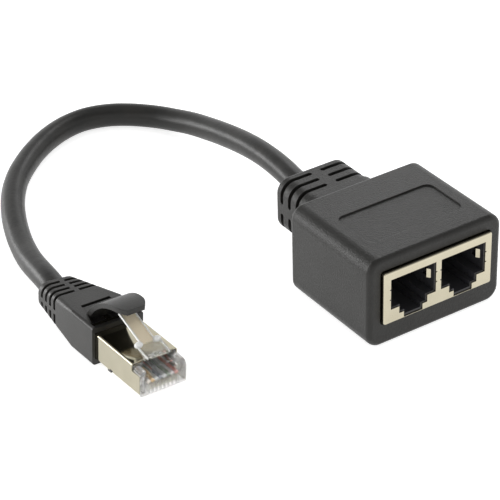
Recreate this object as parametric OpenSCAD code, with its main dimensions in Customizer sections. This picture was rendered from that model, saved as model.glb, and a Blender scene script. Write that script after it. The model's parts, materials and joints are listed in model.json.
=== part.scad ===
// Two-port network jack splitter: a moulded head that holds two shielded jacks side by side,
// a short round lead out of a slotted strain relief, and a shielded eight-way plug in a hooded boot.
// Millimetres, +Z up. The jacks face -Y, the lead leaves towards +Y, the head stands on z = 0.

/* [Head block] */
// Wall of the block at each side of the can
side_wall = 3.4; // [2:0.1:6]
// Wall of the block over the can
top_wall = 3.4; // [2:0.1:6]
// Height of the can above the table
can_z = 6; // [5.4:0.1:8]
// Room behind the can for the soldered cores
back_room = 7.3; // [7:0.1:12]
// Wall behind that room
rear_wall = 2.4; // [2:0.1:6]
// Radius of the four long edges
block_edge_r = 3.4; // [2.4:0.1:4]
// Radius round the front face
block_front_r = 1.3; // [0.6:0.1:1.6]
// Radius round the rear face
block_rear_r = 1; // [0.5:0.1:1.6]
// Width of the bare label recess on top
label_w = 26.4; // [16:0.2:28]
// Length of the label recess, front to back
label_l = 13.2; // [6:0.2:14]
// Distance from the front face to the label recess
label_inset = 6.7; // [4:0.1:12]
// Depth of the label recess
label_depth = 0.35; // [0.2:0.05:0.6]
// Corner radius of the label recess
label_r = 2; // [0.5:0.1:2.5]

/* [Strain relief] */
// Width of the strain relief
relief_w = 19.8; // [17:0.2:24]
// Height of the strain relief
relief_h = 13.5; // [12:0.1:16]
// Length of the strain relief behind the block
relief_l = 18.5; // [18:0.1:26]
// Height of its centre, where the lead leaves
relief_z = 11.2; // [10:0.1:12]
// Radius of its long edges
relief_edge_r = 3.5; // [2.5:0.1:5]
// Radius round its rear end
relief_end_r = 1; // [0.4:0.1:1.4]
// Length of the raised collar at its root
collar_l = 7.2; // [4:0.1:8]
// Height of the collar above the rest of the relief
collar_rise = 0.45; // [0.2:0.05:0.9]
// Rings of flex slots
relief_rings = 3; // [1:1:3]
// Distance from one ring of slots to the next
ring_pitch = 3.1; // [2.6:0.1:3.3]
// Distance from the rear end to the middle of the last ring
ring_end_gap = 2.6; // [2.4:0.1:4]
// Width of a flex slot
flex_w = 1.1; // [0.7:0.1:1.4]
// Depth of a flex slot
flex_depth = 1.2; // [0.6:0.1:1.6]
// Width of the bridge left between two slots of a ring
flex_bridge = 2.6; // [1.6:0.1:3.5]

/* [Ports] */
// Width of the opening in the front plate
port_w = 12.5; // [12.2:0.1:12.6]
// Width of the sheet left between the two openings
port_post = 1.47; // [1.4:0.01:3]
// Height of the wide part of the opening
port_h = 7.8; // [7.4:0.1:9]
// Distance from the top of the can to the opening
port_top = 2; // [1.9:0.1:4]
// Width of the first latch step
latch_step_w = 7.8; // [7:0.1:8.4]
// Height of the first latch step
latch_step_h = 1.8; // [1.4:0.1:2.4]
// Width of the second latch step
latch_slot_w = 5.2; // [4.6:0.1:6]
// Height of the second latch step above the floor of the can
latch_slot_h = 1.8; // [1.2:0.1:2.2]
// How much smaller the plastic opening is on each side
port_lip = 0.3; // [0.2:0.05:0.4]
// Floor of the plastic under the second latch step
port_floor = 0.6; // [0.4:0.1:1]
// Depth of the plug's space in the plastic
port_d = 14; // [13:0.1:16]
// Distance between contacts
contact_pitch = 1.02; // [1:0.01:1.05]
// Width of a contact spring
spring_w = 0.45; // [0.3:0.05:0.5]
// Thickness of a contact spring
spring_t = 0.3; // [0.2:0.05:0.35]
// How far the springs hang into the plug's space
spring_drop = 2.9; // [2:0.1:3.2]

/* [Jack can] */
// Nickel sheet beside each port
can_side = 1.87; // [1.7:0.01:3]
// Thickness of the sheet
can_t = 0.3; // [0.2:0.05:0.35]
// Length of the contact carriers behind the ports
carrier_l = 7; // [6.4:0.1:9]
// Radius of the can's long bends
can_edge_r = 0.6; // [0.5:0.05:1.4]
// Radius of its front bends
can_front_r = 0.35; // [0.3:0.05:0.4]
// How far its front plate stands proud of the block
can_proud = 1; // [0.4:0.1:2]
// Gap round the can in the front face of the block
lip_gap = 0.3; // [0.1:0.05:0.5]
// Depth of that gap
lip_depth = 1.2; // [0.6:0.1:2]
// Length of the bottom sheet behind the front plate
can_floor_l = 6; // [5:0.5:9]
// Width of the spring fingers at the sides of a port
finger_w = 2.3; // [1.6:0.1:2.6]
// Distance from the front plate to where a finger shows in the port
finger_y = 1.6; // [1.2:0.1:2]
// Length of the finger that shows
finger_l = 2.4; // [1.8:0.1:3]
// How far the finger leans into the port
finger_lean = 0.75; // [0.5:0.05:0.9]

/* [Inside the head] */
// Thickness of the circuit board
board_t = 1.6; // [1:0.1:1.8]
// Distance from the front plate to the board
board_front = 4.6; // [4:0.1:8]
// Distance from the row of cores to the board's rear edge
board_margin = 1.6; // [1.2:0.1:2.4]
// Distance between cores on the board
core_row_pitch = 3; // [2:0.1:3.4]
// Wall of the inner moulding
inner_wall = 1.4; // [1:0.1:2]

/* [Lead] */
// Diameter of the lead
lead_d = 6; // [5.7:0.1:6.2]
// Diameter of an insulated core
core_d = 0.95; // [0.8:0.01:0.98]
// Length of lead held inside the strain relief
relief_hold = 11; // [8:0.5:14]

/* [Plug] */
// Width of the clear nose
nose_w = 11.68; // [11.5:0.01:11.72]
// Height of the clear body
plug_h = 6.4; // [6.2:0.05:6.5]
// Height of the low step at the front of the nose
nose_h = 4.9; // [4.6:0.1:5.2]
// Length of that step
nose_l = 3.85; // [3:0.05:4]
// Length of the clear body
plug_l = 21.5; // [20:0.1:24]
// Distance from the rear of the body to the front of the wire guide
guide_back = 12.3; // [11:0.1:13]
// Distance from the rear of the body to the cut end of the jacket
jacket_gap = 1.2; // [0.8:0.1:2]
// Width of the latch at its shoulders
latch_w = 6; // [5.6:0.1:6.2]
// Width of the latch tab behind the shoulders
tab_w = 3.24; // [3:0.02:3.4]
// Distance from the nose tip to the shoulders
shoulder_y = 6.4; // [5.4:0.1:6.8]
// Height of the shoulders over the shield
shoulder_rise = 1.9; // [1.6:0.1:2.2]
// Distance from the nose tip to the free end of the latch
latch_end_y = 15.4; // [14:0.1:16]
// Height of the free end over the shield
latch_end_rise = 5.3; // [5:0.1:6]
// Thickness of the latch
latch_t = 1; // [0.8:0.05:1.2]
// Width over the nickel shield
shield_w = 11.8; // [11.78:0.01:11.9]
// Height over the shield
shield_h = 6.7; // [6.6:0.05:6.8]
// Thickness of the shield
shield_t = 0.2; // [0.15:0.01:0.24]
// Length of the crimped barrel behind the shield
barrel_l = 5; // [3:0.1:5.4]

/* [Boot] */
// Wall of the boot beside the shield
boot_wall = 0.8; // [0.7:0.1:2]
// Wall of the boot over the shield
boot_roof = 1.65; // [1.4:0.05:3]
// Wall of the boot under the shield
boot_floor = 1.4; // [0.8:0.1:1.6]
// Length of the plug that the boot grips
boot_grip = 3.3; // [3:0.1:5]
// Length of the straight part of the boot
boot_box_l = 8.8; // [8.4:0.1:12]
// Length of the tapered part
boot_taper_l = 15; // [13:0.1:16]
// Wall round the lead at the rear end, left and right
boot_end_side = 1.8; // [1.5:0.1:3]
// Wall round the lead at the rear end, over and under
boot_end_wall = 0.5; // [0.5:0.1:1]
// Radius of the boot's long edges at the plug
boot_edge_r = 0.8; // [0.5:0.1:1.4]
// Radius of its edges at the rear end
boot_end_r = 2.6; // [2:0.1:2.8]
// Sideways drift of the boot's soft rear end
boot_drift = -0.9; // [-1.5:0.1:0]
// Turn of that end, which follows the lead
boot_bend = 8; // [0:1:12]
// Outer radius of the arched hood over the latch
hood_r = 12.8; // [12:0.1:13.5]
// Height of the hood's crest over the boot
hood_rise = 6.75; // [6:0.05:7]
// Thickness of the hood
hood_t = 1.2; // [0.9:0.1:1.4]
// How far the hood reaches in front of the boot
hood_reach = 7.2; // [5:0.1:7.5]
// Width of the hood at its tip
hood_tip_w = 6.5; // [5:0.1:8]
// Rounding of the two corners of that tip
hood_tip_r = 1; // [0.5:0.1:1.5]
// Width of the hood at its crest
hood_crest_w = 8; // [7:0.1:9]
// Width of the hood where it leaves the boot
hood_root_w = 9.4; // [8:0.1:11]
// Length of the lip in front of the window under the hood
window_lip_l = 1; // [0.6:0.1:1.6]
// Length of the window
window_l = 5; // [4.5:0.1:6]
// Width of the window at its rear
window_end_w = 8.4; // [7:0.1:10]
// Width of the slot across the boot behind the hood
cross_slot_w = 1; // [0.8:0.05:1.4]
// Length of that slot
cross_slot_l = 7.6; // [4:0.1:9]
// Rings of slots in the tapered part
boot_rings = 4; // [1:1:4]
// Distance from one ring to the next
boot_ring_pitch = 1.9; // [1.6:0.05:2]
// Width of a slot in the taper
boot_slot_w = 0.9; // [0.6:0.05:1]
// Depth of a slot in the taper
boot_slot_depth = 0.95; // [0.5:0.05:1.1]
// Width of the bridge between two slots of a ring
boot_bridge = 1.1; // [0.8:0.1:1.6]
// Distance from the rear end to the middle of the last ring
boot_ring_gap = 2; // [1.5:0.1:3]

/* [Where the plug lies] */
// Sideways place of the nose tip
plug_x = -64.1; // [-65:0.01:-63]
// Place of the nose tip along the lead
plug_y = -11.38; // [-12:0.01:-10]
// Turn of the plug about the vertical
plug_turn = 2.25; // [1:0.05:4]
// Roll of the plug, which the stiff lead holds with its right edge down
plug_roll = 3.72; // [2:0.01:4]

/* [Hidden] */
$fn = 48;
LEFT = -1;
RIGHT = 1;
CORES = 8;
// Colours of the eight cores in the order of the contacts
CORE_COLOURS = ["moccasin", "darkorange", "honeydew", "royalblue",
                "aliceblue", "seagreen", "antiquewhite", "sienna"];
// A cut runs this far past the face that it opens
past = 1;
// Pieces that slip into each other leave this much room all round
slip = 0.05;
// A core lies this loosely in its channel
core_slip = 0.02;
// Sides of the lead and of a core
lead_sides = 12;
core_sides = 8;

// Sizes of the can and of the block, built up from what they hold
port_pitch = port_w + port_post;
port_z = latch_slot_h + latch_step_h;
can_h = port_z + port_h + port_top;
can_w = port_pitch + port_w + 2 * can_side;
can_d = port_d + carrier_l + can_t;
can_in_w = can_w - 2 * can_t;
can_in_h = can_h - 2 * can_t;
block_w = can_w + 2 * side_wall;
block_h = can_z + can_h + top_wall;
block_d = can_d - can_proud + back_room + rear_wall;

head_l = can_proud + block_d + relief_l;
can_y = -head_l / 2;
face_y = can_y + can_proud;
relief_end_y = head_l / 2;
relief_foot = relief_z - relief_h / 2;

// Inside of the can, measured from its front plate and its underside
cavity_top = can_h - port_top - port_lip;
insert_w = port_w;
insert_top = can_h - can_t - 0.95;
insert_foot = 1.5;
comb_front = 1.6;
spring_bend = 0.7;
spring_sweep = 230;
spring_z = insert_top - 0.65;
spring_tip = [port_d - 3.4, cavity_top - spring_drop];
tail_row_y = [port_d + 2.4, port_d + 4.9];
tail_below = 1;
tail_hole_d = 0.8;
mould_floor = can_z - board_t - tail_below - 0.2;

board_w = can_w - 1;
board_rear = can_d + back_room - inner_wall - 0.6;
core_row_y = board_rear - board_margin;
core_ring_r = 1.75;
core_step = 360 / CORES;
core_way_d = 2 * (core_ring_r + core_d);

// Inside of the plug, measured from the nose tip and the contact face
row_z = 2.95;
shield_side_y = 0.8;
shield_edge_r = 0.5;
shield_foot_y = 6.4;
body_w = shield_w - 2 * shield_t - 2 * core_slip;
guide_y = plug_l - guide_back;
guide_l = 4.4;
fan_l = 3.7;
guide_w = 7 * contact_pitch + 1.86;
guide_h = 2;
blade_t = 0.35;
blade_y = 0.9;
blade_l = 3.1;
blade_z = 0.35;
blade_r = 0.5;
jacket_end = plug_l + jacket_gap;
grip_z = 3.45;
barrel_r = lead_d / 2 + slip;
latch_root = [2, shield_h + 0.8];
catch_y = 11.3;
catch_l = 1.2;

// Outside of the boot, in the plug's frame
boot_w = shield_w + 2 * boot_wall;
boot_h = boot_floor + shield_h + boot_roof;
boot_top = boot_h - boot_floor;
boot_y = plug_l - boot_grip;
boot_box_end = boot_y + boot_box_l;
boot_end_y = boot_box_end + boot_taper_l;
boot_end_w = lead_d + 2 * boot_end_side;
boot_end_h = lead_d + 2 * boot_end_wall;
boot_end_round = 0.4;
lead_z = 3.8;
cross_slot_depth = 0.9;
lip_drop = 0.35;
hood_root_y = boot_box_end - 3;
hood_tip_y = boot_y - hood_reach;
hood_c = [hood_root_y - sqrt(hood_r * hood_r - pow(hood_r - hood_rise, 2)), boot_top + hood_rise - hood_r];
hood_steps = 12;

// The boot's right edge touches the table, and its roll lifts the rest of the plug
plug_z = (boot_w / 2 - boot_edge_r) * sin(plug_roll) + (boot_floor - boot_edge_r) * cos(plug_roll)
    + boot_edge_r;

// The lead's free stretch over the table, from behind the head round to the boot
lead_route = [
    [0.7, 36.5, 11.2], [1.3, 43, 11], [1.7, 50, 10.4], [2, 57.5, 9.2], [2.1, 65.5, 7.6],
    [1.9, 72.5, 6.1], [1.1, 79, 4.9], [-0.4, 84.5, 3.9], [-2.4, 89.2, 3.3], [-5, 93, 3],
    [-8, 95.8, 3], [-11.5, 98.2, 3], [-15.5, 99.8, 3], [-20, 100.4, 3], [-25.5, 99.5, 3],
    [-31.5, 97, 3], [-37.5, 93.2, 3], [-43, 88.6, 3], [-47.5, 84, 3], [-51.3, 79, 3],
    [-54.3, 74, 3], [-56.8, 69, 3], [-59, 63.8, 3], [-61, 58.2, 3.1], [-62.8, 52.2, 3.5],
    [-64.3, 46, 4.3]
];
lead_points = concat(
    [[0, relief_end_y - relief_hold, relief_z], [0, relief_end_y, relief_z],
     [0, relief_end_y + lead_d, relief_z]],
    lead_route,
    [from_plug([boot_drift + lead_d * sin(boot_bend), boot_end_y + lead_d * cos(boot_bend), lead_z]),
     from_plug([boot_drift, boot_end_y, lead_z]),
     from_plug([0, plug_l + barrel_l, grip_z]), from_plug([0, jacket_end, grip_z])]);

// A point of the plug's own frame, moved to where the plug lies
function from_plug(p) =
    let (x = p[0] * cos(plug_roll) + p[2] * sin(plug_roll),
         z = p[2] * cos(plug_roll) - p[0] * sin(plug_roll))
    [plug_x + x * cos(plug_turn) - p[1] * sin(plug_turn),
     plug_y + x * sin(plug_turn) + p[1] * cos(plug_turn),
     plug_z + z];

// Sideways place of contact or core number i in its row
function row_x(i, pitch) = (i - (CORES + 1) / 2) * pitch;

// Place of core number i in the round bundle, upper and lower cores in turn
function bundle_angle(i) =
    (i % 2 == 1 ? 1 : -1) * (180 - core_step / 2 - core_step * floor((i - 1) / 2));
function bundle_x(i) = core_ring_r * cos(bundle_angle(i));
function bundle_z(i) = core_ring_r * sin(bundle_angle(i));

function unit(v) = v / norm(v);
function heading(p, i) = unit(p[min(i + 1, len(p) - 1)] - p[max(i - 1, 0)]);

// One ring of a tube round point i of a path; up is a direction that the path never takes
function tube_ring(p, i, d, sides, up) =
    let (t = heading(p, i), side = unit(cross(t, up)), over = cross(side, t))
    [for (k = [0:sides - 1])
        p[i] + d / 2 * (cos(360 * k / sides) * side + sin(360 * k / sides) * over)];

// Outline of a strip of even thickness that follows a path in a plane
function strip_side(p, t, s) = [for (i = [0:len(p) - 1])
    let (a = i > 0 ? unit(p[i] - p[i - 1]) : unit(p[1] - p[0]),
         b = i < len(p) - 1 ? unit(p[i + 1] - p[i]) : a,
         n = unit([-(a[1] + b[1]), a[0] + b[0]]))
    p[i] + s * t / 2 / (n * [-a[1], a[0]]) * n];
function strip(p, t) = concat(strip_side(p, t, 1),
    [for (q = [len(p) - 1:-1:0]) strip_side(p, t, -1)[q]]);

// Points of an arc
function bend(c, r, from, to, n) =
    [for (i = [0:n]) c + r * [cos(from + (to - from) * i / n), sin(from + (to - from) * i / n)]];

module tube(p, d, sides, up = [0, 0, 1]) {
    n = len(p);
    polyhedron(
        points = [for (i = [0:n - 1]) each tube_ring(p, i, d, sides, up)],
        faces = concat(
            [[for (k = [sides - 1:-1:0]) k]],
            [for (i = [0:n - 2]) for (k = [0:sides - 1])
                [i * sides + k, i * sides + (k + 1) % sides,
                 (i + 1) * sides + (k + 1) % sides, (i + 1) * sides + k]],
            [[for (k = [0:sides - 1]) (n - 1) * sides + k]]));
}

// A rectangle with round corners, standing on the X axis
module round_rect(w, h, r) {
    translate([-w / 2, r]) square([w, h - 2 * r]);
    translate([r - w / 2, 0]) square([w - 2 * r, h]);
    for (x = [r - w / 2, w / 2 - r], z = [r, h - r]) translate([x, z]) circle(r);
}

// A bar of that section that runs from y = 0 to y = l
module bar(w, h, l, r) {
    translate([0, l, 0]) rotate([90, 0, 0]) linear_extrude(l) round_rect(w, h, r);
}

// A bar whose front face at y = 0 has a rounded rim
module nosed_bar(w, h, l, r, rim) {
    translate([0, rim, 0]) bar(w, h, l - rim, r);
    translate([0, 0, rim]) bar(w - 2 * rim, h - 2 * rim, 2 * rim, r - rim);
    for (z = [rim, h - rim]) translate([r - w / 2, rim, z])
        rotate([0, 90, 0]) cylinder(r = rim, h = w - 2 * r);
    for (x = [rim - w / 2, w / 2 - rim]) translate([x, rim, r])
        cylinder(r = rim, h = h - 2 * r);
    for (x = [r - w / 2, w / 2 - r], z = [r, h - r]) translate([x, 0, z])
        rotate([-90, 0, 0]) rotate_extrude() intersection() {
            union() {
                square([r - rim, 2 * rim]);
                translate([r - rim, rim]) circle(rim);
            }
            square([r, 2 * rim]);
        }
}

// Block from two corners
module box(a, b) {
    translate(a) cube(b - a);
}

// A round hole or pin along y
module along_y(d, l, sides = $fn) {
    rotate([-90, 0, 0]) cylinder(d = d, h = l, $fn = sides);
}

// A profile drawn in Y and Z, made w wide about x = 0
module across(w) {
    translate([-w / 2, 0, 0]) rotate([90, 0, 90]) linear_extrude(w) children();
}

// Places for the pieces of the head, of the can, of a port and of the plug
module at_face() {
    translate([0, face_y, 0]) children();
}
module at_can() {
    translate([0, can_y, can_z]) children();
}
module at_port(side) {
    translate([side * port_pitch / 2, 0, 0]) children();
}
module at_plug() {
    translate([plug_x, plug_y, plug_z]) rotate([0, plug_roll, plug_turn]) children();
}

// One ring of four slots that wrap the corners of a bar, with a bridge on each face
module slot_ring(w, h, r, width, depth, bridge) {
    half = (bridge + width) / 2;
    difference() {
        translate([0, -width / 2, -past]) bar(w + 2 * past, h + 2 * past, width, r);
        translate([0, -width, depth]) bar(w - 2 * depth, h - 2 * depth, 2 * width, r - depth);
        box([-half, -width, -2 * past], [half, width, h + 2 * past]);
        box([-w, -width, h / 2 - half], [w, width, h / 2 + half]);
    }
    for (s = [-1, 1]) {
        for (z = [-past, h - depth]) translate([s * half, 0, z])
            cylinder(d = width, h = depth + past);
        for (x = [-w / 2 - past, w / 2 - depth]) translate([x, 0, h / 2 + s * half])
            rotate([0, 90, 0]) cylinder(d = width, h = depth + past);
    }
}

// The opening of a port in a plate: a wide part and two narrower latch steps down to foot
module port_outline(inset, foot) {
    translate([inset - port_w / 2, port_z + inset]) square([port_w - 2 * inset, port_h - 2 * inset]);
    translate([inset - latch_step_w / 2, latch_slot_h + inset])
        square([latch_step_w - 2 * inset, latch_step_h + past]);
    translate([inset - latch_slot_w / 2, foot]) square([latch_slot_w - 2 * inset, port_z - foot + past]);
}

// The black moulding: block and strain relief in one piece, cast round the jacks and the lead
module head_overmould() {
    color("dimgray") at_face() difference() {
        union() {
            nosed_bar(block_w, block_h, block_d / 2 + past, block_edge_r, block_front_r);
            translate([0, block_d, 0]) mirror([0, 1, 0])
                nosed_bar(block_w, block_h, block_d / 2 + past, block_edge_r, block_rear_r);
            translate([0, block_d + relief_l, relief_foot]) mirror([0, 1, 0])
                nosed_bar(relief_w, relief_h, relief_l + past, relief_edge_r, relief_end_r);
            translate([0, block_d - past, relief_foot - collar_rise])
                bar(relief_w + 2 * collar_rise, relief_h + 2 * collar_rise, collar_l + past,
                    relief_edge_r + collar_rise);
        }
        // seat of the can, its lip and the jacks' board
        translate([0, -past, can_z - slip])
            bar(can_w + 2 * slip, can_h + 2 * slip, can_d - can_proud + past, can_edge_r + slip);
        translate([0, -past, can_z - lip_gap])
            bar(can_w + 2 * lip_gap, can_h + 2 * lip_gap, lip_depth + past, can_edge_r + lip_gap);
        box([-board_w / 2 - slip, board_front - can_proud - slip, mould_floor],
            [board_w / 2 + slip, can_d - can_proud, can_z]);
        // seat of the inner moulding
        box([-can_w / 2, can_d - can_proud - slip, mould_floor],
            [can_w / 2, block_d - rear_wall, can_z + can_h]);
        // way for the cores and pocket of the lead
        translate([0, block_d - rear_wall - past, relief_z]) along_y(core_way_d, relief_l);
        translate([0, block_d + relief_l - relief_hold, relief_z])
            along_y(lead_d + 2 * slip, relief_hold + past, lead_sides);
        // flex slots
        for (i = [0:relief_rings - 1])
            translate([0, block_d + relief_l - ring_end_gap - i * ring_pitch, relief_foot])
                slot_ring(relief_w, relief_h, relief_edge_r, flex_w, flex_depth, flex_bridge);
        // bare label recess
        translate([0, label_inset, block_h - label_depth]) linear_extrude(label_depth + past)
            round_rect(label_w, label_l, label_r);
    }
}

// Path of a spring finger: round the plate's edge, back behind the plastic, then into the port
finger_path = [
    [port_w / 2 + 1.5 * can_t, can_t / 2], [port_w / 2 + can_t / 2, can_t / 2 + slip],
    [port_w / 2 + can_t / 2, finger_y], [port_w / 2 + can_t / 2 - finger_lean, finger_y + 0.4 * finger_l],
    [port_w / 2 + can_t / 2 - finger_lean, finger_y + 0.6 * finger_l],
    [port_w / 2 + can_t / 2, finger_y + finger_l]];

// Short slits above and below each spring finger
module finger_slits() {
    for (s = [-1, 1])
        translate([-port_w / 2 - can_t, port_z + port_h / 2 + s * (finger_w + can_t) / 2 - can_t / 2])
            square([port_w + 2 * can_t, can_t]);
}

// The folded nickel can: front plate with both openings, top, sides and a short floor
module jack_shield() {
    color("antiquewhite") at_can() {
        difference() {
            nosed_bar(can_w, can_h, can_d - can_t, can_edge_r, can_front_r);
            translate([0, can_t, can_t]) bar(can_in_w, can_in_h, can_d, can_edge_r - can_t);
            for (side = [LEFT, RIGHT]) at_port(side) translate([0, can_front_r + can_t, 0])
                rotate([90, 0, 0]) linear_extrude(can_front_r + can_t + past) {
                    port_outline(0, can_t);
                    finger_slits();
                }
            box([-can_in_w / 2, can_floor_l, -past], [can_in_w / 2, can_d + past, can_t + past]);
        }
        for (side = [LEFT, RIGHT], flip = [0, 1]) at_port(side) mirror([flip, 0, 0])
            translate([0, 0, port_z + (port_h - finger_w) / 2]) linear_extrude(finger_w)
                polygon(strip(finger_path, can_t));
    }
}

// The back plate, which closes the can
module jack_shield_back() {
    color("antiquewhite") at_can() translate([0, can_d - can_t, 0]) bar(can_w, can_h, can_t, can_edge_r);
}

// The black insert that both plugs slide into
module jack_housing() {
    finger_z = port_z + (port_h - finger_w) / 2 - slip;
    finger_x = port_w / 2 + can_t + slip;
    color("black") at_can() difference() {
        translate([0, can_t + slip, can_t + slip])
            bar(can_in_w - 2 * slip, can_in_h - 2 * slip, can_d - 2 * (can_t + slip), can_edge_r - can_t);
        for (side = [LEFT, RIGHT]) at_port(side) {
            translate([0, port_d, 0]) rotate([90, 0, 0]) linear_extrude(port_d)
                port_outline(port_lip, can_t + port_floor);
            // windows for the spring fingers, and the ways to them behind the port's walls
            box([-finger_x, finger_y - slip, finger_z],
                [finger_x, finger_y + finger_l + 2 * can_t, finger_z + finger_w + 2 * slip]);
            for (flip = [0, 1]) mirror([flip, 0, 0])
                box([port_w / 2 - slip, 0, finger_z], [finger_x + can_t, finger_y + past,
                    finger_z + finger_w + 2 * slip]);
            // comb of slots for the contact springs
            for (i = [1:CORES]) box(
                [row_x(i, contact_pitch) - spring_w / 2 - slip, comb_front, cavity_top - past],
                [row_x(i, contact_pitch) + spring_w / 2 + slip, port_d + past, insert_top]);
            // seat of the contact carrier, open at the back and below
            box([-insert_w / 2 - slip, port_d, -past], [insert_w / 2 + slip, can_d, insert_top + slip]);
        }
    }
}

// Path of spring number i: solder tail, back, top, bend at the comb and the hanging end
function tail_y(i) = tail_row_y[i % 2];
function contact_path(i) = concat(
    [[tail_y(i), -board_t - tail_below]],
    bend([tail_y(i) - spring_bend, spring_z - spring_bend], spring_bend, 0, 90, 4),
    bend([comb_front + 2 * spring_bend, spring_z - spring_bend], spring_bend, 90, spring_sweep, 6),
    [spring_tip]);

// The carrier that holds one port's eight springs
module contact_carrier(side) {
    color("gray") at_can() at_port(side) difference() {
        box([-insert_w / 2, port_d + slip, insert_foot], [insert_w / 2, can_d - can_t - slip, insert_top]);
        for (i = [1:CORES]) translate([row_x(i, contact_pitch), 0, 0]) across(spring_w + 2 * core_slip)
            polygon(strip(contact_path(i), spring_t + 2 * core_slip));
    }
}

module jack_contact(side, i) {
    color("gold") at_can() at_port(side) translate([row_x(i, contact_pitch), 0, 0])
        across(spring_w) polygon(strip(contact_path(i), spring_t));
}

// The board that joins the contacts of both ports to the cores
module circuit_board() {
    color("darkgreen") at_can() difference() {
        box([-board_w / 2, board_front, -board_t], [board_w / 2, board_rear, 0]);
        for (side = [LEFT, RIGHT], i = [1:CORES]) at_port(side)
            translate([row_x(i, contact_pitch), tail_y(i), -board_t - past])
                cylinder(d = tail_hole_d, h = board_t + 2 * past, $fn = 16);
        for (i = [1:CORES]) translate([row_x(i, core_row_pitch), core_row_y, -board_t - past])
            cylinder(d = core_d + 2 * slip, h = board_t + 2 * past, $fn = 16);
    }
}

// The first, inner moulding behind the can, hollow over the soldered cores
module inner_mould() {
    color("ivory") at_face() difference() {
        box([slip - can_w / 2, can_d - can_proud, mould_floor],
            [can_w / 2 - slip, block_d - rear_wall, can_z + can_h - slip]);
        // room for the cores above the board, and seat of the board's rear end
        box([inner_wall - can_w / 2, can_d - can_proud - past, can_z - board_t - tail_below],
            [can_w / 2 - inner_wall, block_d - rear_wall - inner_wall, can_z + can_h - inner_wall]);
        box([-board_w / 2 - slip, can_d - can_proud - past, can_z - board_t],
            [board_w / 2 + slip, board_rear - can_proud + slip, can_z]);
        translate([0, block_d - rear_wall - inner_wall - past, relief_z])
            along_y(core_way_d, inner_wall + 2 * past);
    }
}

// Core number i from the end of the lead, through the back of the mouldings, down to the board
module head_core(i) {
    far = relief_end_y - relief_hold;
    wall = face_y + block_d - rear_wall - inner_wall - core_d;
    near = can_y + core_row_y;
    x = row_x(i, core_row_pitch);
    z = relief_z + bundle_z(i);
    color(CORE_COLOURS[i - 1]) tube(concat(
        [[bundle_x(i), far, z], [bundle_x(i), wall, z]],
        [for (a = [0:30:90]) [x, near + core_d * (1 - sin(a)), z - core_d * (1 - cos(a))]],
        [[x, near, can_z - board_t]]), core_d, core_sides, [1, 0, 0]);
}

// The round lead, from inside the strain relief to inside the boot
module cable() {
    color("dimgray") tube(lead_points, lead_d, lead_sides);
}

// Place on the boot's soft rear part, which drifts sideways and turns with the lead
module at_tail(y) {
    share = (y - boot_box_end) / boot_taper_l;
    translate([boot_drift * share, y, 0]) rotate([0, 0, -boot_bend * share]) children();
}

// Outer form of the boot's taper, made smaller all round by inset
module boot_taper(inset) {
    round_in = boot_end_round + inset;
    hull() {
        translate([0, boot_box_end - past, inset - boot_floor])
            bar(boot_w - 2 * inset, boot_h - 2 * inset, past, max(boot_edge_r - inset, boot_edge_r / 2),
                $fn = 24);
        at_tail(boot_end_y) translate([0, -boot_end_round, lead_z - boot_end_h / 2 + inset])
            bar(boot_end_w - 2 * inset, boot_end_h - 2 * inset, slip, boot_end_r - inset, $fn = 24);
        at_tail(boot_end_y) translate([0, -slip, lead_z - boot_end_h / 2 + round_in])
            bar(boot_end_w - 2 * round_in, boot_end_h - 2 * round_in, slip, boot_end_r - round_in, $fn = 24);
    }
}

// Right edge of the hood seen from above: it swells from the tip to the crest, then flares to its root
function hood_edge(k) =
    let (t = k / hood_steps)
    [hood_tip_w / 2 + (hood_crest_w - hood_tip_w) / 2 * sin(min(2 * t, 1) * 90)
         + (hood_root_w - hood_crest_w) / 2 * pow(max(2 * t - 1, 0), 2)
         - hood_tip_r * pow(max(1 - hood_steps / 2 * t, 0), 2),
     hood_tip_y + t * (hood_root_y + hood_t - hood_tip_y)];

// The arched hood over the free end of the latch
module boot_hood() {
    intersection() {
        across(boot_w) difference() {
            translate(hood_c) circle(hood_r, $fn = 96);
            translate(hood_c) circle(hood_r - hood_t, $fn = 96);
        }
        translate([0, 0, shield_h + slip]) linear_extrude(hood_r) polygon(concat(
            [for (k = [0:hood_steps]) hood_edge(k)],
            [for (k = [hood_steps:-1:0]) [-hood_edge(k)[0], hood_edge(k)[1]]]));
    }
}

// The window under the hood, narrower towards its rear, and the low lip in front of it
module boot_window() {
    front_w = boot_w - 2 * boot_wall;
    window_y = boot_y + window_lip_l;
    translate([0, 0, shield_h]) linear_extrude(boot_roof + past) polygon([
        [-front_w / 2, window_y], [front_w / 2, window_y],
        [window_end_w / 2, window_y + window_l], [-window_end_w / 2, window_y + window_l]]);
    box([-front_w / 2, boot_y - past, boot_top - lip_drop], [front_w / 2, window_y + past, boot_top + past]);
}

// One ring of slots in the taper, with a bridge above, below and at each side
module boot_slots() {
    difference() {
        box([-boot_w, -boot_slot_w / 2, -boot_floor - past], [boot_w, boot_slot_w / 2, boot_h]);
        box([-boot_bridge / 2, -boot_slot_w, -boot_h], [boot_bridge / 2, boot_slot_w, 2 * boot_h]);
        box([-2 * boot_w, -boot_slot_w, lead_z - boot_bridge / 2],
            [2 * boot_w, boot_slot_w, lead_z + boot_bridge / 2]);
    }
}

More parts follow.
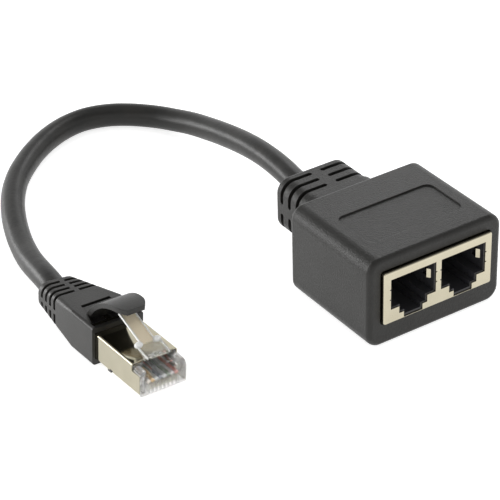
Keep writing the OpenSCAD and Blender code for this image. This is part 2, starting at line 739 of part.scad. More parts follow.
// The snagless boot: a box round the shield, a slotted taper and the arched hood
module plug_boot() {
    color("dimgray") difference() {
        at_plug() difference() {
            union() {
                difference() {
                    translate([0, boot_y, -boot_floor]) bar(boot_w, boot_h, boot_box_l, boot_edge_r);
                    boot_window();
                }
                boot_taper(0);
                boot_hood();
            }
            // room for the shield and its barrel
            box([-shield_w / 2 - slip, boot_y - past, -core_slip],
                [shield_w / 2 + slip, plug_l + 2 * shield_t, shield_h + slip]);
            translate([0, plug_l, grip_z]) along_y(2 * (barrel_r + shield_t + slip), barrel_l + slip);
            // slot across the top
            box([-cross_slot_l / 2, boot_box_end - cross_slot_w / 2, boot_top - cross_slot_depth],
                [cross_slot_l / 2, boot_box_end + cross_slot_w / 2, boot_top + past]);
            // rings of slots, as deep as the core that stays
            difference() {
                for (i = [0:boot_rings - 1]) at_tail(boot_end_y - boot_ring_gap - i * boot_ring_pitch)
                    boot_slots();
                boot_taper(boot_slot_depth);
            }
        }
        // way of the lead
        tube(lead_points, lead_d + 2 * slip, lead_sides);
    }
}

// The plug's nickel shield: folded top, sides and floor, with a barrel crimped on the lead
module plug_shield() {
    color("antiquewhite") at_plug() {
        difference() {
            translate([0, shield_side_y, 0])
                bar(shield_w, shield_h, plug_l + shield_t - shield_side_y, shield_edge_r);
            translate([0, shield_side_y - past, shield_t])
                bar(shield_w - 2 * shield_t, shield_h - 2 * shield_t, plug_l + past - shield_side_y,
                    shield_edge_r - shield_t);
            // the top starts behind the nose, and the sides step down to it
            box([-shield_w, -past, nose_h], [shield_w, nose_l, shield_h + past]);
            // contacts and nose stay open below
            box([shield_t - shield_w / 2, -past, -past], [shield_w / 2 - shield_t, shield_foot_y, past]);
            translate([0, plug_l - past, grip_z]) along_y(2 * barrel_r, 3 * past);
            // small notch at the foot of each side
            box([-shield_w, catch_y, -past], [shield_w, catch_y + catch_l, 0.7]);
        }
        difference() {
            translate([0, plug_l, grip_z]) along_y(2 * (barrel_r + shield_t), barrel_l);
            translate([0, plug_l - past, grip_z]) along_y(2 * barrel_r, barrel_l + 2 * past);
            box([-0.5, plug_l + 2 * shield_t, 0], [0.5, plug_l + barrel_l + past, grip_z]);
        }
    }
}

// The clear body with its nose, its core channels and the sprung latch
module plug_body() {
    color([0.85, 0.88, 0.86, 0.5]) at_plug() difference() {
        union() {
            // body under the shield
            translate([0, shield_side_y / 2, shield_t + core_slip])
                bar(body_w, plug_h - shield_t - 2 * core_slip, plug_l - shield_side_y / 2 - core_slip,
                    shield_edge_r - shield_t);
            // nose in front of the shield's sides
            across(nose_w) polygon([[0.25, 0], [shield_side_y - core_slip, 0],
                [shield_side_y - core_slip, nose_h], [0.25, nose_h - 0.2], [0, nose_h - 0.5], [0, 0.4]]);
            // latch and its root
            across(latch_w) polygon(strip([latch_root, [shoulder_y, shield_h + shoulder_rise],
                [latch_end_y, shield_h + latch_end_rise]], latch_t));
            across(latch_w) polygon([[shield_side_y, nose_h - 0.6], [nose_l - slip, nose_h - 0.6],
                [nose_l - slip, shield_h + latch_t], latch_root, [shield_side_y, shield_h]]);
        }
        // low step of the nose on both sides of the latch
        for (s = [LEFT, RIGHT]) {
            box([s > 0 ? latch_w / 2 : -nose_w, -past, nose_h], [s > 0 ? nose_w : -latch_w / 2, nose_l,
                plug_h + past]);
            // behind its shoulders the latch is narrower
            box([s > 0 ? tab_w / 2 : -nose_w, shoulder_y, shield_h],
                [s > 0 ? nose_w : -tab_w / 2, latch_end_y + past, shield_h + latch_end_rise + past]);
        }
        // channel of each core and slot of each contact
        for (i = [1:CORES]) translate([row_x(i, contact_pitch), 0, 0]) {
            translate([0, blade_y, row_z]) along_y(core_d + 2 * core_slip, guide_y, 24);
            box([-blade_t / 2 - core_slip, -past, -past],
                [blade_t / 2 + core_slip, blade_y + blade_l + core_slip, row_z]);
        }
        // room for the guide and the loose cores behind it
        box([-guide_w / 2 - slip, guide_y, row_z - guide_h / 2 - slip],
            [guide_w / 2 + slip, guide_y + guide_l + slip, row_z + guide_h / 2 + slip]);
        box([-guide_w / 2, guide_y + guide_l, 1], [guide_w / 2, plug_l + past, plug_h - 0.6]);
        // hollow behind the latch, where the strip over the cores is pressed down
        box([-3.4, nose_l + 3.2, row_z + guide_h / 2 + 0.9], [3.4, nose_l + 5, plug_h + past / 2]);
    }
}

// The comb that keeps the cores in a row
module wire_guide() {
    color("whitesmoke") at_plug() difference() {
        box([-guide_w / 2, guide_y + core_slip, row_z - guide_h / 2],
            [guide_w / 2, guide_y + guide_l, row_z + guide_h / 2]);
        for (i = [1:CORES]) translate([row_x(i, contact_pitch), guide_y - past, row_z])
            along_y(core_d + 2 * core_slip, guide_l + 2 * past, 24);
    }
}

// Gilt blade of contact number i, with a round lower front corner
module plug_contact(i) {
    color("gold") at_plug() translate([row_x(i, contact_pitch), blade_y, blade_z]) across(blade_t) {
        translate([0, blade_r]) square([blade_l, row_z - core_d / 2 - core_slip - blade_z - blade_r]);
        translate([blade_r, 0]) square([blade_l - blade_r, blade_r + core_slip]);
        translate([blade_r, blade_r]) circle(blade_r);
    }
}

// Core number i from the end of the lead to the nose
module plug_core(i) {
    x = row_x(i, contact_pitch);
    z = grip_z + bundle_z(i);
    guide_end = guide_y + guide_l;
    color(CORE_COLOURS[i - 1]) at_plug() tube([
        [bundle_x(i), jacket_end, z], [bundle_x(i), jacket_end - 0.6, z], [x, guide_end + fan_l, z],
        [x, guide_end + 0.4, row_z], [x, guide_y, row_z], [x, blade_y + 0.1, row_z]],
        core_d, core_sides);
}

head_overmould();
jack_shield();
jack_shield_back();
jack_housing();
contact_carrier(LEFT);  // contact_carrier_left
contact_carrier(RIGHT);  // contact_carrier_right
for (i = [1:CORES]) {
    jack_contact(LEFT, i);
    jack_contact(RIGHT, i);
    head_core(i);
    plug_contact(i);
    plug_core(i);
}
circuit_board();
inner_mould();
cable();
plug_boot();
plug_shield();
plug_body();
wire_guide();
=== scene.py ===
# %% [markdown]
# # A two-port network splitter, dressed over its solids
# The solids of this splitter come from CAD and load as a fixed frame: a moulded head with two jacks,
# a short lead and a plug in a boot. They could be modelled again in Blender, but their shapes and
# places are right already. So this script adds the looks: the smooth lead, skins over the moulded
# pieces, the finish of each material, the light and the camera. All is in metres, with z up.

import json
import math
import bmesh
import bpy
from mathutils import Matrix, Vector

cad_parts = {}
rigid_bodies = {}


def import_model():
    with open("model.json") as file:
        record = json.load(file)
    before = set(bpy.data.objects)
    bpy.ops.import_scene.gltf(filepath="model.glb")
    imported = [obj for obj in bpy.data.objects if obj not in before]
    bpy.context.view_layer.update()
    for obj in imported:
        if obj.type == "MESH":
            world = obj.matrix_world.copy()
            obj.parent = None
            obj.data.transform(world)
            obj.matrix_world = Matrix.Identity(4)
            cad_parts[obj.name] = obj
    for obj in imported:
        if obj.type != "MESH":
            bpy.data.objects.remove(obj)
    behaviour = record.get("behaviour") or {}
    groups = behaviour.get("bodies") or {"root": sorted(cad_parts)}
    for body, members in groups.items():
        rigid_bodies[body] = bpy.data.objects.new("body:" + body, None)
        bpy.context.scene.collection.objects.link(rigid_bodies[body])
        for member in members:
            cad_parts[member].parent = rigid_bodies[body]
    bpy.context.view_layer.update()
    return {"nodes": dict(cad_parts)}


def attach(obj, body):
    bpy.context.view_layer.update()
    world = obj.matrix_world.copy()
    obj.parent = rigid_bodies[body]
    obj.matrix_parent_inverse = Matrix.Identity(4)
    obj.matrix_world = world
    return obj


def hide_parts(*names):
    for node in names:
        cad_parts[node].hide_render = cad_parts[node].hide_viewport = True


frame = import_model()
nodes = frame["nodes"]
MM = 0.001

# %% [markdown]
# ## Objects for what is made
# A mesh, a lamp or a lens is only data. It shows once an object carries it and the scene holds that
# object. The editor's own add commands make both at once, but they depend on what is selected and
# where the cursor is. Making the data first and then its object gives the same result each time.


# %% Make the object helper
def new_object(name, data):
    """An object of that name in the scene that shows the data."""
    thing = bpy.data.objects.new(name, data)
    bpy.context.collection.objects.link(thing)
    return thing


# %% [markdown]
# ## The camera
# The photograph was taken from the left of the jacks, about 33 degrees round and 33 degrees up, with
# a long lens: the edges of the head run almost parallel. A camera can be placed by eye, but these
# numbers were solved from those edges, so the render can be compared with the photograph edge by
# edge. The camera leans a little, so its own axes are turned by the roll.

# %% Place the camera
AZIMUTH = math.radians(-33.077)
ELEVATION = math.radians(32.559)
ROLL = math.radians(-1.622)
DISTANCE = 0.50531
TARGET = Vector((-24.967, 13.31, 10.0)) * MM

back = Vector((math.sin(AZIMUTH) * math.cos(ELEVATION), -math.cos(AZIMUTH) * math.cos(ELEVATION),
               math.sin(ELEVATION)))
right = Vector((math.cos(AZIMUTH), math.sin(AZIMUTH), 0))
up = back.cross(right)
right, up = (right * math.cos(ROLL) + up * math.sin(ROLL),
             up * math.cos(ROLL) - right * math.sin(ROLL))
lens = bpy.data.cameras.new("photo_camera")
lens.lens = 158.4
lens.sensor_width = 36
lens.clip_start = 0.01
lens.clip_end = 10
camera = new_object("photo_camera", lens)
camera.matrix_world = Matrix.Translation(TARGET + back * DISTANCE) @ Matrix(
    (right, up, back)).transposed().to_4x4()
bpy.context.scene.camera = camera
print("camera at", [round(v, 4) for v in camera.location])

# %% [markdown]
# ## The plug's own frame
# The plug lies on the table at the end of the lead, turned a little and rolled a little. Its details
# are easiest to give in the plug's own frame: x across, y from the nose to the rear of the boot and z
# up from its underside, in millimetres. One function takes such a point to where the plug lies. An
# empty as a parent would do that too, but finished pieces have their place in their mesh.

# %% Find points of the plug
PLUG_PLACE = Vector((-64.1, -11.38, 1.7815))
PLUG_TURN = math.radians(2.25)
PLUG_ROLL = math.radians(3.72)


def from_plug(x, y, z):
    """A point of the plug's own frame, in millimetres, moved to where the plug lies."""
    turn = Matrix.Rotation(PLUG_TURN, 3, "Z") @ Matrix.Rotation(PLUG_ROLL, 3, "Y")
    return turn @ Vector((x, y, z)) + PLUG_PLACE


print("zero point of the plug, in mm:", [round(v, 2) for v in from_plug(0, 0, 0)])

# %% [markdown]
# ## The lead
# The lead is the one part that bends freely, so it is drawn before any other piece. It keeps the route
# of the CAD tube: out of the strain relief, down to the table, once round to the left and up into the
# boot. It could be a circle that is extruded and turned at every point, which leaves a kink at each.
# A smooth line through the same points, drawn as a curve with a round bevel, has no kinks. The curve
# is then made a mesh, so that every tool measures the same shape.

# %% Lay out the route
LEAD_D = 6 * MM
HELD = 4
STRAIGHT = 6
RELIEF_END = Vector((0, 24.75, 11.2))
ROUTE = [(0.7, 36.5, 11.2), (1.3, 43, 11), (1.7, 50, 10.4), (2, 57.5, 9.2), (2.1, 65.5, 7.6),
         (1.9, 72.5, 6.1), (1.1, 79, 4.9), (-0.4, 84.5, 3.9), (-2.4, 89.2, 3.3), (-5, 93, 3),
         (-8, 95.8, 3), (-11.5, 98.2, 3), (-15.5, 99.8, 3), (-20, 100.4, 3), (-25.5, 99.5, 3),
         (-31.5, 97, 3), (-37.5, 93.2, 3), (-43, 88.6, 3), (-47.5, 84, 3), (-51.3, 79, 3),
         (-54.3, 74, 3), (-56.8, 69, 3), (-59, 63.8, 3), (-61, 58.2, 3.1), (-62.8, 52.2, 3.5),
         (-64.3, 46, 4.3)]

# The boot's rear end stands off the plug's middle and turns away from it. Inside the boot the lead
# swings back: each entry is a share of that drift, a depth in the boot and a height.
BOOT_REAR_Y = 42
BOOT_DRIFT = -0.9
BOOT_BEND = math.radians(8)
IN_BOOT = [(1.0, 0, 3.8), (0.74, HELD, 3.71), (0.48, 2 * HELD, 3.62)]

in_relief = [RELIEF_END + Vector((0, y, 0)) for y in (-2 * HELD, -HELD, 0, STRAIGHT)]
leave_boot = from_plug(BOOT_DRIFT + STRAIGHT * math.sin(BOOT_BEND),
                       BOOT_REAR_Y + STRAIGHT * math.cos(BOOT_BEND), IN_BOOT[0][2])
in_boot = [from_plug(BOOT_DRIFT * share, BOOT_REAR_Y - depth, height)
           for share, depth, height in IN_BOOT]
knots = in_relief + [Vector(p) for p in ROUTE] + [leave_boot] + in_boot
print("points on the lead's route:", len(knots))


# %% Smooth the line
def smooth_line(points, steps):
    """A curve through the points: each stretch starts and ends along the line past its neighbours."""
    curve_points = []
    for i in range(1, len(points) - 2):
        a, b, c, d = points[i - 1:i + 3]
        for k in range(steps):
            t = k / steps
            curve_points.append(0.5 * ((2 * b) + (c - a) * t + (2 * a - 5 * b + 4 * c - d) * t * t
                                       + (3 * b - a - 3 * c + d) * t * t * t))
    return curve_points + [points[-2]]


line = [p * MM for p in smooth_line(knots, steps=8)]

# %% Draw the tube
curve = bpy.data.curves.new("lead_line", "CURVE")
curve.dimensions = "3D"
curve.bevel_depth = LEAD_D / 2
curve.bevel_resolution = 8
curve.use_fill_caps = True
spline = curve.splines.new("POLY")
spline.points.add(len(line) - 1)
for point, place in zip(spline.points, line):
    point.co = (*place, 1)
drawn = new_object("lead_line", curve)
bpy.context.view_layer.update()
tube = bpy.data.meshes.new_from_object(drawn.evaluated_get(bpy.context.evaluated_depsgraph_get()))
bpy.data.objects.remove(drawn)

# The wall has four-sided faces, which are shaded round. The two end caps stay flat.
tube.polygons.foreach_set("use_smooth", [len(face.vertices) == 4 for face in tube.polygons])
lead = new_object("lead", tube)
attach(lead, "root")
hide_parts("cable")
print("lead:", len(tube.polygons), "faces")

# %% [markdown]
# ## Smooth skins over the solids
# Head, boot, can, plug shield and clear body are moulded or folded with rounded edges, but their
# solids come as loose triangles with flat shading, so the edges look chipped. Shading a solid smooth
# as it is would smear its flat faces. So a copy is welded, its flat faces are joined, and every turn
# below a chosen angle is shaded round. Weighted normals keep the flat faces flat up to their rounded
# edges. Each copy stands for its solid and starts with just the same shape.

# %% Make the skin helper
WELD = 0.002 * MM
FLAT = math.radians(0.5)


def mesh_from(shape, name):
    """Turns the drawn shape into a mesh of that name and frees it."""
    mesh = bpy.data.meshes.new(name)
    shape.to_mesh(mesh)
    shape.free()
    return mesh


def skin(name, turn):
    """A welded copy of a solid, shaded round wherever its faces turn by less than turn degrees."""
    shape = bmesh.new()
    shape.from_mesh(nodes[name].data)
    bmesh.ops.remove_doubles(shape, verts=shape.verts, dist=WELD)
    bmesh.ops.dissolve_limit(shape, angle_limit=FLAT, verts=shape.verts, edges=shape.edges,
                             delimit={"NORMAL"})
    for face in shape.faces:
        face.smooth = True
    for edge in shape.edges:
        edge.smooth = len(edge.link_faces) == 2 and edge.calc_face_angle(0) < math.radians(turn)
    sharp = sum(not edge.smooth for edge in shape.edges)
    piece = new_object(name + "_skin", mesh_from(shape, name + "_skin"))
    normals = piece.modifiers.new("flat faces stay flat", "WEIGHTED_NORMAL")
    normals.keep_sharp = True
    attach(piece, "root")
    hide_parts(name)
    print(piece.name + ":", len(piece.data.polygons), "faces,", sharp, "sharp edges")
    return piece


# %% Weld and smooth the moulded and folded pieces
SOFT_TURN = 32
CLEAR_TURN = 24
head_skin = skin("head_overmould", SOFT_TURN)
boot_skin = skin("plug_boot", SOFT_TURN)
can_skin = skin("jack_shield", SOFT_TURN)
shield_skin = skin("plug_shield", SOFT_TURN)
body_skin = skin("plug_body", CLEAR_TURN)

# %% [markdown]
# ## Soft edges on the clear body
# Clear plastic shows its edges more than anything else, because a moulded edge bends the light and
# draws a bright or dark line. Most edges of the solid are sharp. They could be beveled one by one, but
# a Bevel modifier with an angle limit finds them all. It goes before the weighted normals, so that
# these are worked out on the rounded shape.

# %% Round the clear body's edges
soft_edges = body_skin.modifiers.new("moulded edges", "BEVEL")
soft_edges.width = 0.1 * MM
soft_edges.segments = 2
soft_edges.limit_method = "ANGLE"
soft_edges.angle_limit = math.radians(50)
body_skin.modifiers.move(1, 0)
print("order on the clear body:", [modifier.name for modifier in body_skin.modifiers])

# %% [markdown]
# ## Ribs, ears and web of the plug
# The latch is a thin tongue, stiffened by a rib along each side. The ribs end in two round shoulders
# that catch in the jack, and two finer ribs run on down to the nose. The web between the long ribs is
# frosted, so it hides what lies under it. Round ears stiffen the upper corners of the nose, and below
# the shield's left side, where a dark spot shows, sits a small black block. These are too fine for the
# solids. They could be extruded along curves, but each is straight, so each is a beam between two
# points of the plug: a cube that is stretched, turned and given round edges.

# %% Make the beam helpers
def beam(shape, start, end, width, height, edge):
    """A beam with round edges from start to end, both points of the plug in millimetres."""
    a, b = (from_plug(*p) * MM for p in (start, end))
    along = (b - a).normalized()
    side = (from_plug(1, 0, 0) - from_plug(0, 0, 0)).normalized()
    over = side.cross(along)
    turn = Matrix((side * width * MM, along * (b - a).length, over * height * MM)).transposed().to_4x4()
    made = bmesh.ops.create_cube(shape, size=1, matrix=Matrix.Translation((a + b) / 2) @ turn)
    edges = dict.fromkeys(e for v in made["verts"] for e in v.link_edges)   # once each, in order
    bmesh.ops.bevel(shape, geom=list(edges), offset=edge * MM, offset_type="OFFSET", segments=3,
                    profile=0.5, affect="EDGES", material=-1)


def plug_piece(shape, name):
    """Makes the drawn shape a piece that rides with the plug."""
    for face in shape.faces:
        face.smooth = True
    piece = new_object(name, mesh_from(shape, name))
    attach(piece, "root")
    print(name + ":", len(piece.data.polygons), "faces")
    return piece


# %% Draw the ribs and shoulders
SHIELD_H = 6.7
SHOULDER = (6.4, SHIELD_H + 1.9)
LATCH_END = (15.2, SHIELD_H + 5.22)
LATCH_FOOT = (2.3, SHIELD_H + 0.85)


def on_latch(x, place, over, along=0):
    """A point of the plug beside a y and z place of the latch, moved up and along the plug."""
    return (x, place[0] + along, place[1] + over)


ribs = bmesh.new()
for side in (-1, 1):
    long_rib, fine_rib, shoulder = side * 1.74, side * 2.8, side * 2.35
    beam(ribs, on_latch(long_rib, SHOULDER, over=0.12, along=-0.1),
         on_latch(long_rib, LATCH_END, over=0.12), width=0.3, height=0.55, edge=0.1)
    beam(ribs, on_latch(fine_rib, SHOULDER, over=0.05), on_latch(fine_rib, LATCH_FOOT, over=0.05),
         width=0.24, height=0.4, edge=0.08)
    middle = from_plug(*on_latch(shoulder, SHOULDER, over=0.1, along=0.1)) * MM
    knob = bmesh.ops.create_uvsphere(ribs, u_segments=20, v_segments=12, radius=0.8 * MM,
                                     matrix=Matrix.Translation(middle))
    bmesh.ops.scale(ribs, verts=knob["verts"], vec=(1.3, 1, 0.9), space=Matrix.Translation(-middle))
latch_ribs = plug_piece(ribs, "latch_ribs")

# %% Round the nose's corners
# Each corner has an ear that stands at the front edge and one that lies along the top.
ears = bmesh.new()
for side in (-1, 1):
    beam(ears, (side * 5.25, 0.55, 0.8), (side * 5.25, 0.55, 5.7), width=1.0, height=0.9, edge=0.4)
    beam(ears, (side * 4.9, 0.5, 5.35), (side * 4.9, 3.5, 5.55), width=1.5, height=1.2, edge=0.5)
nose_ears = plug_piece(ears, "nose_ears")

# %% Fill in the web and set the dark block under the shield
web = bmesh.new()
beam(web, on_latch(0, SHOULDER, over=0.02), on_latch(0, LATCH_END, over=0.02),
     width=3.2, height=0.12, edge=0.03)
latch_web = plug_piece(web, "latch_web")

# A small black block below the shield's left side, where a dark spot shows.
dark_block_shape = bmesh.new()
beam(dark_block_shape, (-5.55, 12.1, 0.15), (-5.55, 13.4, 0.15), width=0.6, height=0.8, edge=0.06)
dark_block_under_shield = plug_piece(dark_block_shape, "dark_block_under_shield")

# %% [markdown]
# ## What hangs on the lead
# The lead is a free cord, 6 mm thick. It leaves the strain relief of the head and ends in the plug, and
# every piece of that plug moves with it. Those pieces are gathered here in one list.

on_lead = [boot_skin, shield_skin, body_skin, latch_ribs, latch_web, nose_ears, dark_block_under_shield]
on_lead += [piece for name, piece in nodes.items()
            if name.startswith(("plug_contact", "plug_core", "wire_guide"))]
print("pieces on the lead's end:", len(on_lead))

# %% [markdown]
# ## Finishes
# Every real surface here has two scales: a slow drift of its colour and a fine grain that the light
# catches. Pictures could carry both, but they need unwrapping and stop at their last pixel. So every
# finish is a small network of nodes on object coordinates, which stays put in any view. One helper
# makes the common part, and the grain drives both the roughness and the bump.

# %% Make the pattern helpers
def noise(tree, size, detail, rough=0.5):
    """The value of a noise on object coordinates, with features of about size metres."""
    place = tree.nodes.new("ShaderNodeTexCoord")
    pattern = tree.nodes.new("ShaderNodeTexNoise")
    pattern.inputs["Scale"].default_value = 1 / size
    pattern.inputs["Detail"].default_value = detail
    pattern.inputs["Roughness"].default_value = rough
    tree.links.new(place.outputs["Object"], pattern.inputs["Vector"])
    return pattern.outputs["Fac"]


def spread(tree, value, was, becomes):
    """Takes a value's range was, a low and a high number, to the range becomes."""
    ranged = tree.nodes.new("ShaderNodeMapRange")
    for end, number in zip(("From Min", "From Max", "To Min", "To Max"), (*was, *becomes)):
        ranged.inputs[end].default_value = number
    tree.links.new(value, ranged.inputs["Value"])
    return ranged.outputs["Result"]


# %% Make the shader helper
def finish(name, colour, second, roughness, grain_size, grain_depth, blotch_size=6 * MM, edge=0.0,
           metal=0.0, rough_swing=0.08, gloss=0.5):
    """A procedural finish: colour drifts to second over blotches, grain sets bump and roughness."""
    material = bpy.data.materials.new(name)
    material.use_nodes = True
    tree = material.node_tree
    shader = tree.nodes["Principled BSDF"]
    shader.inputs["Metallic"].default_value = metal
    shader.inputs["Specular IOR Level"].default_value = gloss

    drift = tree.nodes.new("ShaderNodeValToRGB")
    for stop, position, shade in zip(drift.color_ramp.elements, (0.35, 0.7), (colour, second)):
        stop.position = position
        stop.color = (*shade, 1)
    tree.links.new(noise(tree, blotch_size, detail=3), drift.inputs["Fac"])
    tree.links.new(drift.outputs["Color"], shader.inputs["Base Color"])

    grain = noise(tree, grain_size, detail=4, rough=0.65)
    swing = spread(tree, grain, (0.3, 0.7), (roughness - rough_swing / 2, roughness + rough_swing / 2))
    tree.links.new(swing, shader.inputs["Roughness"])
    bump = tree.nodes.new("ShaderNodeBump")
    bump.inputs["Distance"].default_value = grain_depth
    bump.inputs["Strength"].default_value = 0.6
    tree.links.new(grain, bump.inputs["Height"])
    if edge:
        round_edge = tree.nodes.new("ShaderNodeBevel")
        round_edge.samples = 6
        round_edge.inputs["Radius"].default_value = edge
        tree.links.new(round_edge.outputs["Normal"], bump.inputs["Normal"])
    tree.links.new(bump.outputs["Normal"], shader.inputs["Normal"])
    return material


# %% Make the helpers that put a finish on
def put_on(material, *pieces):
    """Gives each piece or CAD solid the finish."""
    for piece in pieces:
        slots = piece.data.materials
        for i in range(len(slots)):
            slots[i] = material
        if len(slots) == 0:
            slots.append(material)
    print(material.name, "on", len(pieces), "pieces")


def named(*starts):
    """The CAD solids whose names start with one of the given words."""
    return [piece for name, piece in nodes.items() if name.startswith(starts)]


# %% [markdown]
# ## Soft black PVC
# Head, lead and boot are PVC of much the same black, but not of the same sheen: the head and the boot
# come out of an eroded mould with a fine grain, and the jacket of the lead is drawn, so it has only
# slow waves. A moulded edge is never dead sharp. It could be beveled in the mesh, but on the head and
# the boot a Bevel node rounds just the light on it, by a fraction of a millimetre, and adds no faces.

# %% Finish the black pieces
head_pvc = finish("head_pvc", (0.014, 0.0135, 0.012), (0.018, 0.0175, 0.016), roughness=0.37,
                  grain_size=0.42 * MM, grain_depth=0.2 * MM, edge=0.2 * MM, gloss=0.27)
boot_pvc = finish("boot_pvc", (0.017, 0.0165, 0.015), (0.023, 0.022, 0.02), roughness=0.38,
                  grain_size=0.36 * MM, grain_depth=0.07 * MM, edge=0.15 * MM, gloss=0.33)
jacket_pvc = finish("jacket_pvc", (0.012, 0.012, 0.011), (0.018, 0.017, 0.015), roughness=0.38,
                    grain_size=4.5 * MM, grain_depth=0.2 * MM, gloss=0.27)
put_on(head_pvc, head_skin, nodes["head_overmould"])
put_on(boot_pvc, boot_skin, nodes["plug_boot"])
put_on(jacket_pvc, lead, nodes["cable"])

# %% [markdown]
# ## Nickel and gilt
# The can and the plug's shield are nickel-plated sheet: bright, slightly warm, with the faint cloud
# of rolled metal. The contacts carry a thin flash of gold, and the plug's blades look paler through
# the clear plastic. Metal could be faked with a pale colour and strong gloss, but the shader's own
# metal colours its reflections, as nickel and gold do. These have no Bevel node, because on a low
# roughness it leaves specks.

# %% Finish the metal
can_nickel = finish("can_nickel", (0.5, 0.46, 0.345), (0.53, 0.49, 0.375), roughness=0.16,
                    grain_size=0.5 * MM, grain_depth=0.0006 * MM, blotch_size=4 * MM, metal=1.0,
                    rough_swing=0.05)
# The shield's nickel is darker than the can's. This is partly a plating of its own and partly painted
# shade, standing in for the shadowed floor beside the plug that its sides mirror.
plug_nickel_painted_shade = finish("plug_nickel_painted_shade", (0.4, 0.372, 0.28), (0.43, 0.4, 0.305), roughness=0.08,
                     grain_size=0.5 * MM, grain_depth=0.0003 * MM, blotch_size=4 * MM, metal=1.0,
                     rough_swing=0.03)
gilt = finish("gilt", (0.66, 0.56, 0.36), (0.76, 0.66, 0.46), roughness=0.22,
              grain_size=0.2 * MM, grain_depth=0.001 * MM, metal=1.0)
blade_metal = finish("blade_metal", (0.62, 0.59, 0.5), (0.72, 0.69, 0.6), roughness=0.2,
                     grain_size=0.2 * MM, grain_depth=0.001 * MM, metal=1.0)
put_on(can_nickel, can_skin, *named("jack_shield"))
put_on(plug_nickel_painted_shade, shield_skin, nodes["plug_shield"])
put_on(gilt, *named("jack_contact"))
put_on(blade_metal, *named("plug_contact"))

# %% [markdown]
# ## Plastics and board inside
# The insert with the two openings is black, the blocks that hold the springs are dark grey, and the
# comb in the plug is a natural white. The inner moulding and the board are out of sight. They could
# be left plain, but a solid that is shown alone or cut open should look like what it is.

# %% Finish the inner pieces
port_black = finish("port_black", (0.024, 0.024, 0.027), (0.03, 0.03, 0.034), roughness=0.4,
                    grain_size=0.3 * MM, grain_depth=0.006 * MM)
carrier_grey = finish("carrier_grey", (0.03, 0.03, 0.033), (0.038, 0.038, 0.042), roughness=0.5,
                      grain_size=0.3 * MM, grain_depth=0.006 * MM)
inner_poly = finish("inner_poly", (0.6, 0.58, 0.52), (0.68, 0.66, 0.6), roughness=0.5,
                    grain_size=0.5 * MM, grain_depth=0.01 * MM)
board_green = finish("board_green", (0.02, 0.13, 0.045), (0.03, 0.17, 0.06), roughness=0.3,
                     grain_size=0.4 * MM, grain_depth=0.004 * MM)
guide_white = finish("guide_white", (0.7, 0.7, 0.68), (0.78, 0.78, 0.76), roughness=0.45,
                     grain_size=0.3 * MM, grain_depth=0.005 * MM)
put_on(port_black, nodes["jack_housing"])
put_on(carrier_grey, *named("contact_carrier"))
put_on(inner_poly, nodes["inner_mould"])
put_on(board_green, nodes["circuit_board"])
put_on(guide_white, nodes["wire_guide"])

# %% [markdown]
# ## Cores
# The eight cores follow the usual colour order: a white one with a stripe of a colour, then one of
# the whole colour. A stripe could be drawn on each, but seen through the nose it melts into the
# white, so the white cores get a pale tint of the colour. Each pair of finishes comes from one hue.

# %% Finish the cores
CORE_HUES = {"orange": (0.96, 0.62, 0.26), "green": (0.3, 0.36, 0.27), "blue": (0.28, 0.3, 0.34),
             "brown": (0.72, 0.25, 0.2)}
ORDER = ["white_orange", "orange", "white_green", "blue", "white_blue", "green", "white_brown", "brown"]
for number, name in enumerate(ORDER, 1):
    hue = CORE_HUES[name.split("_")[-1]]
    shade = tuple(0.25 * v + 0.73 for v in hue) if name.startswith("white") else hue
    core = finish("core_" + name, shade, tuple(min(1, v * 1.25) for v in shade), roughness=0.4,
                  grain_size=0.2 * MM, grain_depth=0.003 * MM)
    put_on(core, nodes["plug_core_%d" % number], nodes["head_core_%d" % number])

# %% [markdown]
# ## Clear plastic
# Body and latch of the plug are clear polycarbonate. Plain glass would be the simple way, but it
# throws a full shadow, and the wires inside would be black. So the shader is glass that is partly
# see-through: seen flat on, most light goes straight through, and towards its edges it thickens to
# bright glass. A faint ripple stands for the flow of the moulding.
#
# Right at its rim a thick clear piece shows what is dark round it, so on the body and the ears a dark
# rim is painted into the tint where they are seen edge on: a painted reflection. The ribs of the latch
# catch the light, so they are shaded a nearly opaque white as a painted highlight. They have no dark
# rim, and its web is frosted.

# %% Make the clear helpers
MIX_A, MIX_B, MIX_RESULT = 6, 7, 2      # a Mix node's colour sockets, whose names others share


def paint_dark_rim(tree, shader, rim):
    """Paints a dark rim into the tint of a clear piece where it is seen almost edge on: a painted
    reflection.
    """
    glance = tree.nodes.new("ShaderNodeLayerWeight")
    glance.inputs["Blend"].default_value = 0.1
    tint = tree.nodes.new("ShaderNodeMix")
    tint.data_type = "RGBA"
    tint.inputs[MIX_B].default_value = (*rim, 1)
    tree.links.new(spread(tree, glance.outputs["Facing"], (0.11, 0.3), (0, 1)), tint.inputs["Factor"])
    tree.links.new(shader.inputs["Base Color"].links[0].from_socket, tint.inputs[MIX_A])
    tree.links.new(tint.outputs[MIX_RESULT], shader.inputs["Base Color"])


def clear_finish(name, colour, second, seen_flat, seen_edge, through, roughness, rim=None):
    """Clear plastic: opacity flat on and at the edges, the share of glass in it, and its painted dark
    rim's colour.
    """
    material = finish(name, colour, second, roughness, grain_size=1.2 * MM, grain_depth=0.004 * MM,
                      rough_swing=0.01, gloss=0.22)
    tree = material.node_tree
    shader = tree.nodes["Principled BSDF"]
    shader.inputs["Transmission Weight"].default_value = through
    shader.inputs["IOR"].default_value = 1.5
    angle = tree.nodes.new("ShaderNodeLayerWeight")
    angle.inputs["Blend"].default_value = 0.35
    tree.links.new(spread(tree, angle.outputs["Facing"], (0, 1), (seen_flat, seen_edge)),
                   shader.inputs["Alpha"])
    if rim:
        paint_dark_rim(tree, shader, rim)
    return material
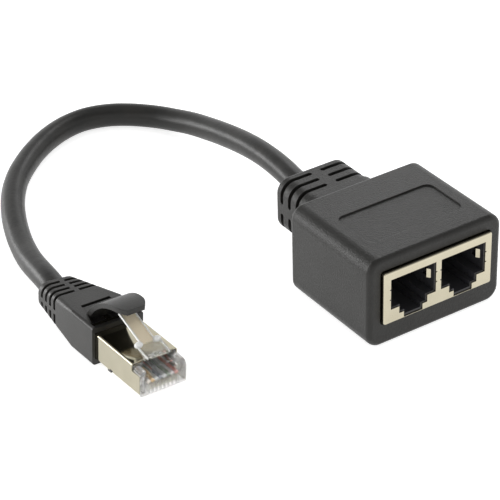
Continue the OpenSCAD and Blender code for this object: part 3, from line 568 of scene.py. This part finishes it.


# %% Finish the clear pieces
# The colour of the painted dark rim, a painted reflection of the dark surroundings seen in the edges.
PAINTED_DARK_RIM = (0.02, 0.02, 0.025)
clear_body = clear_finish("clear_body", (0.92, 0.93, 0.92), (0.98, 0.98, 0.97), seen_flat=0.26,
                          seen_edge=1.0, through=0.98, roughness=0.005, rim=PAINTED_DARK_RIM)
clear_ears = clear_finish("clear_ears", (0.8, 0.81, 0.83), (0.95, 0.95, 0.96), seen_flat=0.55,
                          seen_edge=1.0, through=1.0, roughness=0.005, rim=PAINTED_DARK_RIM)
# The ribs are shaded nearly opaque and near-white: a painted highlight for the bright light that the
# clear ribs bend.
clear_ribs_painted_highlight = clear_finish("clear_ribs_painted_highlight", (0.95, 0.96, 0.95), (0.99, 0.99, 0.98), seen_flat=0.9,
                          seen_edge=1.0, through=0.2, roughness=0.12)
frosted_web = clear_finish("frosted_web", (0.93, 0.82, 0.62), (0.97, 0.86, 0.66), seen_flat=0.85,
                           seen_edge=0.95, through=0.0, roughness=0.25)
put_on(clear_body, body_skin, nodes["plug_body"])
put_on(clear_ribs_painted_highlight, latch_ribs)
put_on(frosted_web, latch_web)
put_on(clear_ears, nose_ears)
put_on(port_black, dark_block_under_shield)

# %% [markdown]
# ## Floor
# The photograph shows the splitter on plain white. A backdrop that curves up behind it is the usual
# way, but this view looks down and sees only the ground. So a wide pale sheet lies under it, lit from
# within as a light table is, so that no hard shadow falls on it.

# %% Build the floor
shape = bmesh.new()
bmesh.ops.create_grid(shape, x_segments=1, y_segments=1, size=1.5)
floor = new_object("floor", mesh_from(shape, "floor"))
paper = finish("floor_paper", (0.86, 0.86, 0.86), (0.88, 0.88, 0.88), roughness=0.8,
               grain_size=2 * MM, grain_depth=0.01 * MM, blotch_size=80 * MM, gloss=0.1)
paper_shader = paper.node_tree.nodes["Principled BSDF"]
paper_shader.inputs["Emission Color"].default_value = (1, 1, 1, 1)
paper_shader.inputs["Emission Strength"].default_value = 0.7
put_on(paper, floor)

# %% [markdown]
# ## Surround
# The light in the photograph is soft and comes from all round. Many large lamps could give that, but
# bright metal mirrors each of them. A surround that changes only with height is simpler: it is bright
# from the horizon to a little over a third of the way up, dark in a band above that and bright again
# overhead. The bands draw the light and dark lines along the rounded edges and on the nickel.

# %% Light the surround
SKY = [(0.0, 1.15), (0.56, 1.2), (0.68, 0.25), (0.8, 0.3), (1.0, 0.85)]     # height, brightness
world = bpy.data.worlds.new("studio")
bpy.context.scene.world = world
world.use_nodes = True
tree = world.node_tree
direction = tree.nodes.new("ShaderNodeTexCoord")
parts = tree.nodes.new("ShaderNodeSeparateXYZ")
tree.links.new(direction.outputs["Generated"], parts.inputs["Vector"])
sky = tree.nodes.new("ShaderNodeValToRGB")
for height, _ in SKY[1:-1]:     # a new ramp has its first and last stop already, at 0 and 1
    sky.color_ramp.elements.new(height)
for stop, (height, light) in zip(sky.color_ramp.elements, SKY):
    stop.color = (light, light, light, 1)
tree.links.new(parts.outputs["Z"], sky.inputs["Fac"])
tree.links.new(sky.outputs["Color"], tree.nodes["Background"].inputs["Color"])
print("surround, height and brightness:", SKY)

# %% [markdown]
# ## Two lamps
# The head's top has a sheen in the photograph, and its upper edge at the left a bright line. Both are
# reflections, so they could be had by a brighter surround, which would wash out the rest. Two soft
# panels do it alone: a small one behind the head on its right for the top, and a low, wide one far
# behind on its left for the edge. The standard view keeps white paper white.

# %% Hang the lamps
HEAD_MIDDLE = Vector((0.0, 0.0, 0.02))


def panel(name, place, width, height, watts):
    """A soft rectangular light at place, in metres, that looks at the head."""
    light = bpy.data.lights.new(name, "AREA")
    light.shape = "RECTANGLE"
    light.size = width
    light.size_y = height
    light.energy = watts
    lamp = new_object(name, light)
    lamp.location = place
    lamp.rotation_euler = (HEAD_MIDDLE - Vector(place)).to_track_quat("-Z", "Y").to_euler()
    print(name + ":", watts, "W")


panel("head_panel", (0.13, 0.165, 0.157), width=0.075, height=0.08, watts=0.075)
panel("horizon_panel", (-0.45, 0.5, 0.09), width=0.6, height=0.16, watts=2.8)
bpy.context.scene.view_settings.view_transform = "Standard"
